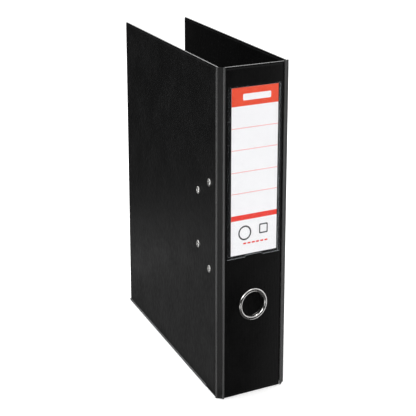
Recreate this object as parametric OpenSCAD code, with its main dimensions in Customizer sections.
// A4 lever arch file, standing on its bottom edges with the covers closed.
// Origin: bottom centre of the whole file. +Z up, the back cover at -X, the front cover
// at +X, the spine towards -Y. The covers are parallel to Y and the spine leans by `skew`.

/* [File] */
// Outside width over both covers when the spine is square
file_w = 75; // [74:1:82]
// Height of the covers and spine
file_h = 318; // [310:1:325]
// Depth from the spine's outer face to the fore edge
file_d = 285; // [280:1:300]
// Angle by which the closed file leans out of square, seen from above
skew = 11; // [0:1:11]

/* [Covers] */
// Thickness of a board with its films
panel_t = 2.6; // [2.2:0.1:3]
// Thickness of one film
film_t = 0.25; // [0.2:0.05:0.4]
// Width of the welded rim outside the board
rim_w = 3; // [2:0.5:5]
// Width of the chamfer that each hinge strip takes, along the cover and along the spine
strip_c = 5; // [4:0.5:7]
// Radius of the weld bead along each crease
bead_r = 0.9; // [0.7:0.1:1.2]
// Thickness of the metal edge rail
rail_t = 0.4; // [0.3:0.1:0.6]
// Height of the edge rail on the cover
rail_h = 2.4; // [1.5:0.1:5]
// Plain length of bottom edge between the hinge and the rail
rail_start = 28; // [20:1:40]

/* [Spine] */
// Height of the finger ring's centre
ring_z = 90; // [70:1:95]
// Inner radius of the finger ring
ring_r = 12.2; // [11:0.1:13]
// Width of the label card
label_w = 50; // [40:1:52]
// Height of the label card
label_h = 157; // [120:1:160]
// Bottom of the label card
label_z = 141.5; // [136:0.5:145]

/* [Mechanism] */
// Height of the mechanism's centre
mech_z = 165.5; // [159:0.5:166]
// Distance between the posts, for standard punched paper
post_pitch = 80; // [80:1:80]
// Radius of a post
post_r = 2.4; // [2.3:0.1:2.4]
// Height of the posts above the cover
post_h = 40; // [36:1:40]
// Diameter of the arch wire
wire_d = 3.8; // [3.6:0.1:3.8]
// Length of the lever from its pin to its tip
lever_l = 53; // [50:1:54]

/* [Hidden] */

$fn = 64;
eps = 0.01;
film_color = [0.09, 0.09, 0.10];
steel_color = [0.78, 0.79, 0.80];

// Plan of the closed file: the four crease lines, seen from above.
function turned(p, a) = [p.x * cos(a) - p.y * sin(a), p.x * sin(a) + p.y * cos(a)];
spine_w = file_w - 2 * strip_c;
cover_d = file_d - strip_c;
plan_a = [0, 0];
plan_b = plan_a + turned([strip_c, -strip_c], skew / 2);
plan_c = plan_b + turned([spine_w, 0], skew);
plan_d = plan_c + turned([strip_c, strip_c], skew / 2);
plan_mid = [(plan_a.x + plan_d.x) / 2, (plan_b.y - bead_r + plan_d.y + cover_d) / 2];
crease_a = plan_a - plan_mid;
crease_b = plan_b - plan_mid;
crease_c = plan_c - plan_mid;
crease_d = plan_d - plan_mid;

// Panels start clear of the bead that they turn around.
bead_gap = 0.2;
panel_start = bead_r + bead_gap;
board_t = panel_t - 2 * film_t;
strip_web_t = 0.8;

// Mechanism, in the back cover's own coordinates: u from the hinge, h above the inner face.
plate_t = 1.2;
plate_u = [13, 67];
plate_half_h = 50;
rivet_near = [20, 42];
rivet_far = [50.5, 26.7];
rivet_head_r = 3.7;
rivet_shank_r = 2;
rivet_hollow_r = 1.1;
post_u = 61;
post_half = post_pitch / 2;
post_shank_r = post_r - 0.2;
wire_r = wire_d / 2;
bar_u = 31;
bar_h = 6;
crank_l = 13;
crank_dip = 8;
crank_z = [-30, 0];
crank_bend = 3.2;
foot_bend = 5;
arch_r = (post_u - bar_u) / 2;
arch_spring_h = 44;
running = 0.06;

// Lever and roller: the pin is at lever_z and pin_h, and the lever points up the file.
lever_u = 44;
lever_z = -18.5;
pin_h = 15.5;
pin_r = 1.75;
lever_w = 14;
lever_t = 1.2;
ear_gap = 0.4;
ear_t = 1.6;
roller_r = 4.5;
roller_z = lever_z + 6;
roller_h = bar_h - crank_l * sin(crank_dip) + wire_r + 0.3 + roller_r;
roller_pin_r = 1.2;

// Compressor bar
comp_u = [54.6, 68.5];
comp_half = 49;
comp_h = 4.2;
comp_t = 1;
collar_r = 3.5;
collar_h = 4.4;

// Slot eyelets in the front cover, over the arches when the file is square
slot_u = bar_u + arch_r;
slot_l = 42;
slot_w = 9;
slot_wall = 0.6;
slot_flange = 3;
slot_lip = 0.6;

// ---------- frames of reference ----------

// Local x runs away from crease A along the back cover, local y inwards from its outer face.
module back_frame() {
    translate([crease_a.x, crease_a.y, 0]) rotate(90) mirror([0, 1, 0]) children();
}

// Local x runs along the spine from crease B to crease C, local y inwards.
module spine_frame() {
    translate([crease_b.x, crease_b.y, 0]) rotate(skew) children();
}

// Local x runs away from crease D along the front cover, local y inwards.
module front_frame() {
    translate([crease_d.x, crease_d.y, 0]) rotate(90) children();
}

// Local x is u, local y is h above the back cover's inner face, z is from the centre.
module mech_frame() {
    back_frame() translate([0, panel_t, mech_z]) children();
}

// A cylinder along local y, from y0 to y1, at x and z.
module y_rod(x, z, y0, y1, r) {
    translate([x, y0, z]) rotate([-90, 0, 0]) cylinder(r = r, h = y1 - y0);
}

// A cylinder along local x, from x0 to x1.
module x_rod(y, z, x0, x1, r) {
    translate([x0, y, z]) rotate([0, 90, 0]) cylinder(r = r, h = x1 - x0);
}

// A cylinder along z, from z0 to z1.
module z_rod(x, y, z0, z1, r) {
    translate([x, y, z0]) cylinder(r = r, h = z1 - z0);
}

// ---------- panels: a board between an outer and an inner film ----------

// One film: half the panel's thickness, hollow where the board lies.
module film_tray(w, h, z0, outer) {
    y0 = outer ? 0 : panel_t / 2;
    cavity_y = outer ? film_t : panel_t / 2 - eps;
    difference() {
        translate([panel_start, y0, z0]) cube([w - panel_start, panel_t / 2, h]);
        translate([panel_start + rim_w, cavity_y, z0 + rim_w])
            cube([w - panel_start - 2 * rim_w, panel_t / 2 - film_t + eps, h - 2 * rim_w]);
    }
}

module panel_board(w, h, z0) {
    translate([panel_start + rim_w, film_t, z0 + rim_w])
        cube([w - panel_start - 2 * rim_w, board_t, h - 2 * rim_w]);
}

// U-shaped rail pressed on the bottom edge.
module edge_rail() {
    translate([rail_start, -rail_t, 0]) difference() {
        cube([cover_d - rail_start, panel_t + 2 * rail_t, rail_t + rail_h]);
        translate([-eps, rail_t, rail_t])
            cube([cover_d - rail_start + 2 * eps, panel_t, rail_h + eps]);
    }
}

panel_z = rail_t;
panel_h = file_h - rail_t;

// ---------- back cover ----------

module rivet_holes() {
    for (s = [-1, 1])
        for (p = [rivet_near, rivet_far])
            y_rod(p.x, mech_z + s * p.y, -1, panel_t + plate_t + 1, rivet_shank_r);
}

module back_board() {
    color([0.55, 0.50, 0.44]) back_frame() difference() {
        panel_board(cover_d, panel_h, panel_z);
        rivet_holes();
    }
}

module back_outer_film() {
    color(film_color) back_frame() difference() {
        film_tray(cover_d, panel_h, panel_z, true);
        rivet_holes();
    }
}

module back_inner_film() {
    color(film_color) back_frame() difference() {
        film_tray(cover_d, panel_h, panel_z, false);
        rivet_holes();
    }
}

module back_edge_rail() {
    color(steel_color) back_frame() edge_rail();
}

// ---------- front cover ----------

// The slot's outline widened by `grow` on every side, from y0 to y1: a bar with round ends.
module eyelet_shape(z, grow, y0, y1) {
    straight = slot_l - slot_w;
    translate([slot_u, y0, z]) rotate([-90, 0, 0]) linear_extrude(y1 - y0) union() {
        square([straight, slot_w + 2 * grow], center = true);
        for (s = [-1, 1]) translate([s * straight / 2, 0]) circle(d = slot_w + 2 * grow);
    }
}

module slot_holes() {
    for (s = [-1, 1]) eyelet_shape(mech_z + s * post_half, slot_wall, -1, panel_t + 1);
}

module front_board() {
    color([0.55, 0.50, 0.44]) front_frame() difference() {
        panel_board(cover_d, panel_h, panel_z);
        slot_holes();
    }
}

module front_outer_film() {
    color(film_color) front_frame() difference() {
        film_tray(cover_d, panel_h, panel_z, true);
        slot_holes();
    }
}

module front_inner_film() {
    color(film_color) front_frame() difference() {
        film_tray(cover_d, panel_h, panel_z, false);
        slot_holes();
    }
}

module front_edge_rail() {
    color(steel_color) front_frame() edge_rail();
}

module slot_eyelet(z) {
    color(steel_color) front_frame() difference() {
        union() {
            eyelet_shape(z, slot_wall, 0, panel_t);
            eyelet_shape(z, slot_flange, -slot_lip, 0);
            eyelet_shape(z, slot_flange, panel_t, panel_t + slot_lip);
        }
        eyelet_shape(z, 0, -1, panel_t + 1);
    }
}

module upper_slot_eyelet() {
    slot_eyelet(mech_z + post_half);
}

module lower_slot_eyelet() {
    slot_eyelet(mech_z - post_half);
}

// ---------- hinge strips ----------

// Flexible web between two crease lines, with a round weld bead on each.
module hinge_strip(from, to) {
    way = to - from;
    color([0.13, 0.13, 0.14]) translate([from.x, from.y, panel_z]) rotate(atan2(way.y, way.x)) union() {
        translate([0, -strip_web_t / 2, 0]) cube([norm(way), strip_web_t, panel_h]);
        cylinder(r = bead_r, h = panel_h);
        translate([norm(way), 0, 0]) cylinder(r = bead_r, h = panel_h);
    }
}

module back_hinge_strip() {
    hinge_strip(crease_a, crease_b);
}

module front_hinge_strip() {
    hinge_strip(crease_c, crease_d);
}

// ---------- spine ----------

ring_u = spine_w / 2;
ring_barrel = 0.8;
ring_flange = 3.6;
ring_dome = 1.3;
ring_hole_r = ring_r + ring_barrel;

module ring_hole() {
    y_rod(ring_u, ring_z, -1, panel_t + 1, ring_hole_r);
}

// The spine's film rim is narrower than on the covers, so that the label has room.
module spine_tray(outer) {
    y0 = outer ? 0 : panel_t / 2;
    cavity_y = outer ? film_t : panel_t / 2 - eps;
    spine_rim = rim_w / 2;
    difference() {
        translate([panel_start, y0, panel_z]) cube([spine_w - 2 * panel_start, panel_t / 2, panel_h]);
        translate([panel_start + spine_rim, cavity_y, panel_z + rim_w]) cube([
            spine_w - 2 * panel_start - 2 * spine_rim,
            panel_t / 2 - film_t + eps,
            panel_h - 2 * rim_w
        ]);
        ring_hole();
    }
}

module spine_board() {
    spine_rim = rim_w / 2;
    color([0.55, 0.50, 0.44]) spine_frame() difference() {
        translate([panel_start + spine_rim, film_t, panel_z + rim_w])
            cube([spine_w - 2 * panel_start - 2 * spine_rim, board_t, panel_h - 2 * rim_w]);
        ring_hole();
    }
}

module spine_outer_film() {
    color(film_color) spine_frame() spine_tray(true);
}

module spine_inner_film() {
    color(film_color) spine_frame() spine_tray(false);
}

// Label card and the clear pocket over it, which is welded along both sides and the bottom.
// The pocket is open at the top, and a notch in its lower edge lets a thumb push the card up.
card_t = 0.25;
card_gap = 0.05;
pocket_t = 0.25;
pocket_side = 4;
weld_w = 1.6;
pocket_z = label_z - 3.3;
pocket_top = label_z + label_h + 1.5;
pocket_w = label_w + 2 * pocket_side;
notch_w = 20;
notch_h = 2.3;

module label_card() {
    color([0.96, 0.96, 0.97]) spine_frame()
        translate([ring_u - label_w / 2, -card_gap - card_t, label_z]) cube([label_w, card_t, label_h]);
}

module label_pocket() {
    lift = card_t + 2 * card_gap;
    left = ring_u - pocket_w / 2;
    color([0.8, 0.85, 0.9, 0.35]) spine_frame() difference() {
        translate([left, -lift - pocket_t, pocket_z])
            cube([pocket_w, lift + pocket_t, pocket_top - pocket_z]);
        translate([left + weld_w, -lift, pocket_z + weld_w])
            cube([pocket_w - 2 * weld_w, lift + 1, pocket_top - pocket_z]);
        translate([ring_u - notch_w / 2, -lift - pocket_t - 1, pocket_z - 1])
            cube([notch_w, lift + pocket_t + 2, notch_h + 1]);
    }
}

// Outer half of the finger ring: a domed flange rolled over a barrel.
module finger_ring() {
    color(steel_color) spine_frame()
        translate([ring_u, 0, ring_z]) rotate([90, 0, 0]) rotate_extrude($fn = 96)
        union() {
            translate([ring_r, -panel_t]) square([ring_barrel, panel_t]);
            intersection() {
                translate([ring_r + ring_flange / 2, 0]) scale([1, 2 * ring_dome / ring_flange])
                    circle(d = ring_flange);
                translate([ring_r, 0]) square([ring_flange, ring_dome]);
            }
        }
}

// Inner half: a flat washer clenched over the barrel's end.
module finger_ring_washer() {
    washer_w = 3;
    washer_t = 0.6;
    color(steel_color) spine_frame() translate([ring_u, panel_t, ring_z]) rotate([-90, 0, 0]) difference() {
        cylinder(r = ring_r + washer_w, h = washer_t, $fn = 96);
        translate([0, 0, -1]) cylinder(r = ring_r, h = washer_t + 2, $fn = 96);
    }
}

// ---------- mechanism: fixed parts ----------

// Plate outline in u and z, with rounded corners; narrower towards the fore edge.
module plate_outline() {
    corner = 4;
    waist_u = 40;
    post_margin = 6;
    module rounded(u0, u1, half) {
        translate([u0 + corner, -half]) square([u1 - u0 - 2 * corner, 2 * half]);
        translate([u0, -half + corner]) square([u1 - u0, 2 * (half - corner)]);
        for (u = [u0 + corner, u1 - corner])
            for (s = [-1, 1]) translate([u, s * (half - corner)]) circle(r = corner);
    }
    difference() {
        union() {
            rounded(plate_u[0], waist_u, plate_half_h);
            rounded(plate_u[0], plate_u[1], post_half + post_margin);
        }
        for (z = [-1.5:1.5])
            translate([window_u, z * window_pitch - window_h / 2]) square([window_w, window_h]);
        translate([plate_u[1], 0]) fore_bay();
    }
}

// Lightening windows of the plate, between its spine edge and the torsion bar.
window_u = 18.5;
window_w = 7.5;
window_h = 8;
window_pitch = 16;

// Shallow bay in the plate's fore edge, between the posts.
module fore_bay() {
    depth = 6;
    step = 3;
    half = 16;
    splay = 4;
    polygon([
        [-depth, splay - half], [-step, -half], [1, -half],
        [1, half], [-step, half], [-depth, half - splay]
    ]);
}

// A bearing lug of the torsion bar, standing on the plate at z0.
lug_t = 1.6;
lug_z = [-34.8, 4, 33.2];
module bearing_lug(z0) {
    lug_r = 4;
    difference() {
        union() {
            z_rod(bar_u, bar_h, z0, z0 + lug_t, lug_r);
            translate([bar_u - lug_r, plate_t / 2, z0]) cube([2 * lug_r, bar_h - plate_t / 2, lug_t]);
        }
        z_rod(bar_u, bar_h, z0 - 1, z0 + lug_t + 1, wire_r + running);
    }
}

// One of the two small lugs that hold the root of the leaf spring.
leaf_lug_t = 1.2;
module leaf_lug(z0) {
    lug_w = 3;
    lug_h = 3.2;
    difference() {
        translate([leaf_u - lug_w / 2, plate_t / 2, z0]) cube([lug_w, lug_h - plate_t / 2, leaf_lug_t]);
        z_rod(leaf_u, leaf_h - leaf_t / 2, z0 - 1, z0 + leaf_lug_t + 1, leaf_root_r + running);
    }
}

// An upright ear that holds one end of the lever's pin, starting at u0.
module lever_ear(u0) {
    ear_r = 4.5;
    difference() {
        union() {
            x_rod(pin_h, lever_z, u0, u0 + ear_t, ear_r);
            translate([u0, plate_t / 2, lever_z - ear_r]) cube([ear_t, pin_h - plate_t / 2, 2 * ear_r]);
        }
        x_rod(pin_h, lever_z, u0 - 1, u0 + ear_t + 1, pin_r);
    }
}

ear_u = [lever_u - lever_w / 2 - ear_gap - ear_t, lever_u + lever_w / 2 + ear_gap];

module base_plate() {
    rib_r = 1.2;
    rib_half = 32;
    rib_inset = 3.2;
    color(steel_color) mech_frame() difference() {
        union() {
            translate([0, plate_t, 0]) rotate([90, 0, 0]) linear_extrude(plate_t) plate_outline();
            for (z = lug_z) bearing_lug(z);
            for (u = ear_u) lever_ear(u);
            for (s = [0, 1]) leaf_lug(leaf_z + (s - 0.5) * (leaf_w + 2 * leaf_gap) - (1 - s) * leaf_lug_t);
            // stiffening rib along the spine side
            z_rod(plate_u[0] + rib_inset, plate_t, -rib_half, rib_half, rib_r);
        }
        translate([0, -panel_t, -mech_z]) rivet_holes();
        // nothing of the plate reaches into the cover
        translate([0, -rib_r, -plate_half_h]) cube([2 * bar_u, rib_r, 2 * plate_half_h]);
        for (s = [-1, 1]) y_rod(post_u, s * post_half, -1, plate_t + 1, post_shank_r);
    }
}

// A post: shank in the plate, collar at the foot, and a blind bore with a countersunk mouth
// for the arch's end.
module post(side) {
    mouth_r = 1.8;
    mouth_d = 1.4;
    bore_r = 1.1;
    bore_d = 5;
    edge = 0.3;
    collar_edge = 0.6;
    color(steel_color) mech_frame() translate([post_u, 0, side * post_half]) rotate([-90, 0, 0])
        rotate_extrude() polygon([
            [0, 0], [post_shank_r, 0], [post_shank_r, plate_t],
            [collar_r, plate_t], [collar_r, collar_h - collar_edge], [collar_r - collar_edge, collar_h],
            [post_r, collar_h], [post_r, post_h - edge], [post_r - edge, post_h],
            [mouth_r, post_h], [bore_r, post_h - mouth_d], [bore_r, post_h - bore_d], [0, post_h - bore_d]
        ]);
}

module upper_post() {
    post(1);
}

module lower_post() {
    post(-1);
}

// Four hollow rivets: domed head outside, clenched rim over the base plate inside.
module mechanism_rivets() {
    head_h = bead_r;
    clench_r = 3.4;
    clench_h = 0.8;
    top = panel_t + plate_t;
    color(steel_color) back_frame() for (s = [-1, 1]) for (p = [rivet_near, rivet_far])
        translate([p.x, 0, mech_z + s * p.y]) rotate([-90, 0, 0]) rotate_extrude() difference() {
            union() {
                intersection() {
                    scale([1, head_h / rivet_head_r]) circle(r = rivet_head_r);
                    translate([0, -head_h]) square([rivet_head_r, head_h]);
                }
                square([rivet_shank_r, top + clench_h]);
                translate([0, top]) square([clench_r, clench_h]);
            }
            translate([-eps, 1]) square([rivet_hollow_r + eps, top + clench_h]);
        }
}

module lever_pin() {
    cap_r = 2.6;
    cap_t = 0.8;
    u0 = ear_u[0];
    u1 = ear_u[1] + ear_t;
    color(steel_color) mech_frame() union() {
        x_rod(pin_h, lever_z, u0, u1, pin_r);
        x_rod(pin_h, lever_z, u0 - cap_t, u0, cap_r);
        x_rod(pin_h, lever_z, u1, u1 + cap_t, cap_r);
    }
}

// Leaf that lifts the crank: a stiff blade that turns at its root, with a rolled root.
leaf_u = 57;
leaf_h = 2;
leaf_z = -9;
leaf_w = 7;
leaf_t = 0.4;
leaf_root_r = 0.45;
leaf_gap = 0.3;

module arch_spring() {
    tip_u = lever_u - crank_l / 4;
    half_root = leaf_w / 2 + leaf_gap + leaf_lug_t;
    color([0.62, 0.63, 0.66]) mech_frame() union() {
        translate([tip_u, leaf_h - leaf_t, leaf_z - leaf_w / 2]) cube([leaf_u - tip_u, leaf_t, leaf_w]);
        z_rod(leaf_u, leaf_h - leaf_t / 2, leaf_z - half_root, leaf_z + half_root, leaf_root_r);
    }
}

// ---------- mechanism: arch wire ----------

// Quarter bend of the wire: starts along +x at the origin and ends along +y, bend radius r.
module bend(r) {
    translate([0, r, 0]) rotate(-90) rotate_extrude(angle = 90) translate([r, 0]) circle(r = wire_r);
}

// One arch above the torsion bar, in its own plane at z = 0: leg, half ring and end cone.
module arch() {
    spring_h = arch_spring_h;
    end_gap = 0.3;
    spigot_d = 1;
    spigot_tip = 0.5;
    spigot_r = 1.4;
    y_rod(bar_u, 0, bar_h + foot_bend, spring_h, wire_r);
    translate([bar_u + arch_r, spring_h, 0])
        rotate_extrude(angle = 180) translate([arch_r, 0]) circle(r = wire_r);
    y_rod(post_u, 0, post_h + end_gap, spring_h, wire_r);
    translate([post_u, post_h + end_gap - spigot_d, 0]) rotate([-90, 0, 0])
        cylinder(r1 = spigot_tip, r2 = spigot_r, h = spigot_d);
}

module arch_wire() {
    color(steel_color) mech_frame() union() {
        for (s = [-1, 1]) {
            translate([0, 0, s * post_half]) arch();
            // foot bend from the leg down into the torsion bar
            translate([bar_u, bar_h, s * (post_half - foot_bend)]) rotate([0, -s * 90, 0]) bend(foot_bend);
        }
        z_rod(bar_u, bar_h, crank_z[1] + crank_bend, post_half - foot_bend, wire_r);
        z_rod(bar_u, bar_h, foot_bend - post_half, crank_z[0] - crank_bend, wire_r);
        // crank, dipped towards the plate
        translate([bar_u, bar_h, 0]) rotate(-crank_dip) {
            translate([0, 0, crank_z[0]]) crank_side();
            translate([0, 0, crank_z[1]]) mirror([0, 0, 1]) crank_side();
            z_rod(crank_l, 0, crank_z[0] + crank_bend, crank_z[1] - crank_bend, wire_r);
        }
    }
}

// One side of the crank: from the torsion bar out along an arm and round to the crank's middle.
// Thin cores run across the joints between straight and bent wire, so that they fuse.
module crank_side() {
    core_r = wire_r * 0.6;
    core_l = 0.3;
    arm_end = crank_l - crank_bend;
    translate([0, 0, -crank_bend]) rotate(240, [1, 1, 1]) bend(crank_bend);
    x_rod(0, 0, crank_bend, arm_end, wire_r);
    translate([arm_end, 0, 0]) rotate([90, 0, 0]) bend(crank_bend);
    z_rod(0, 0, -crank_bend - core_l, -crank_bend + core_l, core_r);
    x_rod(0, 0, crank_bend - core_l, arm_end + core_l, core_r);
    z_rod(crank_l, 0, crank_bend - core_l, crank_bend + core_l, core_r);
}

// ---------- mechanism: lever ----------

// Corners of the lever's side, each as z and h. The belly faces the plate, the back faces away.
lever_tip_z = lever_z + lever_l;
boss_r = 5;
cheek_r = 3.1;
cheek = [roller_z - 3.5, roller_h - 3];
cheek_end = [roller_z + 4, roller_h - 3];
belly = [8, 9.2];
belly_end = [lever_tip_z - 14, 11];
tip_low = [lever_tip_z, 11.6];
tip_high = [lever_tip_z, 14.4];
shoulder = [lever_tip_z - 16, 16];
heel = [2, 19.5];

module lever_side() {
    polygon([
        [lever_z, pin_h - boss_r], cheek, cheek_end, belly, belly_end,
        tip_low, tip_high, shoulder, heel, [lever_z, pin_h + boss_r]
    ]);
    translate([lever_z, pin_h]) circle(r = boss_r);
    translate([roller_z, roller_h]) circle(r = cheek_r);
}

// Extrudes a shape drawn in z and h along u, from u0 for t.
module across(u0, t) {
    translate([u0 + t, 0, 0]) rotate([0, -90, 0]) linear_extrude(t) children();
}

// The channel inside the lever: open towards the plate and at both ends, under a thin web.
module lever_channel() {
    web = [0, lever_t + 0.1];
    open_end = 10;
    polygon([
        [lever_z - open_end, 0], [lever_tip_z + 1, 0], tip_high + [1, -lever_t - 0.2], shoulder - web,
        heel - web, [lever_z + 2, heel.y - 0.3], [lever_z - open_end, heel.y + open_end]
    ]);
}

module lever() {
    inner = lever_w - 2 * lever_t;
    u0 = lever_u - lever_w / 2;
    web_hole = [14, 3];
    color(steel_color) mech_frame() difference() {
        across(u0, lever_w) lever_side();
        across(u0 + lever_t, inner) lever_channel();
        x_rod(pin_h, lever_z, u0 - 1, u0 + lever_w + 1, pin_r + running);
        x_rod(roller_h, roller_z, u0 - 1, u0 + lever_w + 1, roller_pin_r);
        y_rod(lever_u, web_hole[0], tip_low.y, heel.y + 1, web_hole[1]);
    }
}

module lever_grip() {
    grip_w = 16;
    grip_t = 6.4;
    grip_l = 17;
    grip_h = 10.2;
    skin = 1.2;
    u0 = lever_u - grip_w / 2;
    color([0.10, 0.10, 0.11]) mech_frame() difference() {
        union() {
            translate([u0, grip_h, lever_tip_z - grip_l + skin]) cube([grip_w, grip_t, grip_l - grip_t / 2]);
            x_rod(grip_h + grip_t / 2, lever_tip_z + skin - grip_t / 2, u0, u0 + grip_w, grip_t / 2);
        }
        across(lever_u - lever_w / 2, lever_w) lever_side();
    }
}

module roller_pin() {
    u0 = lever_u - lever_w / 2;
    color(steel_color) mech_frame() x_rod(roller_h, roller_z, u0, u0 + lever_w, roller_pin_r);
}

module roller() {
    roller_w = 7;
    color([0.85, 0.85, 0.83]) mech_frame() difference() {
        x_rod(roller_h, roller_z, lever_u - roller_w / 2, lever_u + roller_w / 2, roller_r);
        x_rod(roller_h, roller_z, lever_u - roller_w, lever_u + roller_w, roller_pin_r + running);
    }
}

// ---------- mechanism: compressor bar ----------

bush_r = 4.4;
bush_gap = 0.3;

module compressor_bar() {
    lip = 1.6;
    color(steel_color) mech_frame() difference() {
        union() {
            translate([comp_u[0], comp_h, -comp_half]) cube([comp_u[1] - comp_u[0], comp_t, 2 * comp_half]);
            for (u = [comp_u[0], comp_u[1] - comp_t])
                translate([u, comp_h, -comp_half]) cube([comp_t, lip + comp_t, 2 * comp_half]);
        }
        for (s = [-1, 1]) y_rod(post_u, s * post_half, comp_h - 1, comp_h + 5, bush_r);
    }
}

// Two plastic bushes that grip the posts.
module compressor_bushes() {
    flange_r = 5.4;
    flange_t = 1;
    color([0.10, 0.10, 0.11]) mech_frame() for (s = [-1, 1])
        translate([post_u, 0, s * post_half]) difference() {
            union() {
                y_rod(0, 0, comp_h, comp_h + comp_t, bush_r);
                y_rod(0, 0, comp_h + comp_t, comp_h + comp_t + flange_t, flange_r);
            }
            y_rod(0, 0, comp_h - 1, comp_h + 4, collar_r + bush_gap);
        }
}

back_board();
back_outer_film();
back_inner_film();
back_edge_rail();
base_plate();
upper_post();
lower_post();
mechanism_rivets();
lever_pin();
arch_spring();
arch_wire();
lever();
lever_grip();
roller();
roller_pin();
compressor_bar();
compressor_bushes();
back_hinge_strip();
spine_board();
spine_outer_film();
spine_inner_film();
label_pocket();
label_card();
finger_ring();
finger_ring_washer();
front_hinge_strip();
front_board();
front_outer_film();
front_inner_film();
front_edge_rail();
upper_slot_eyelet();
lower_slot_eyelet();
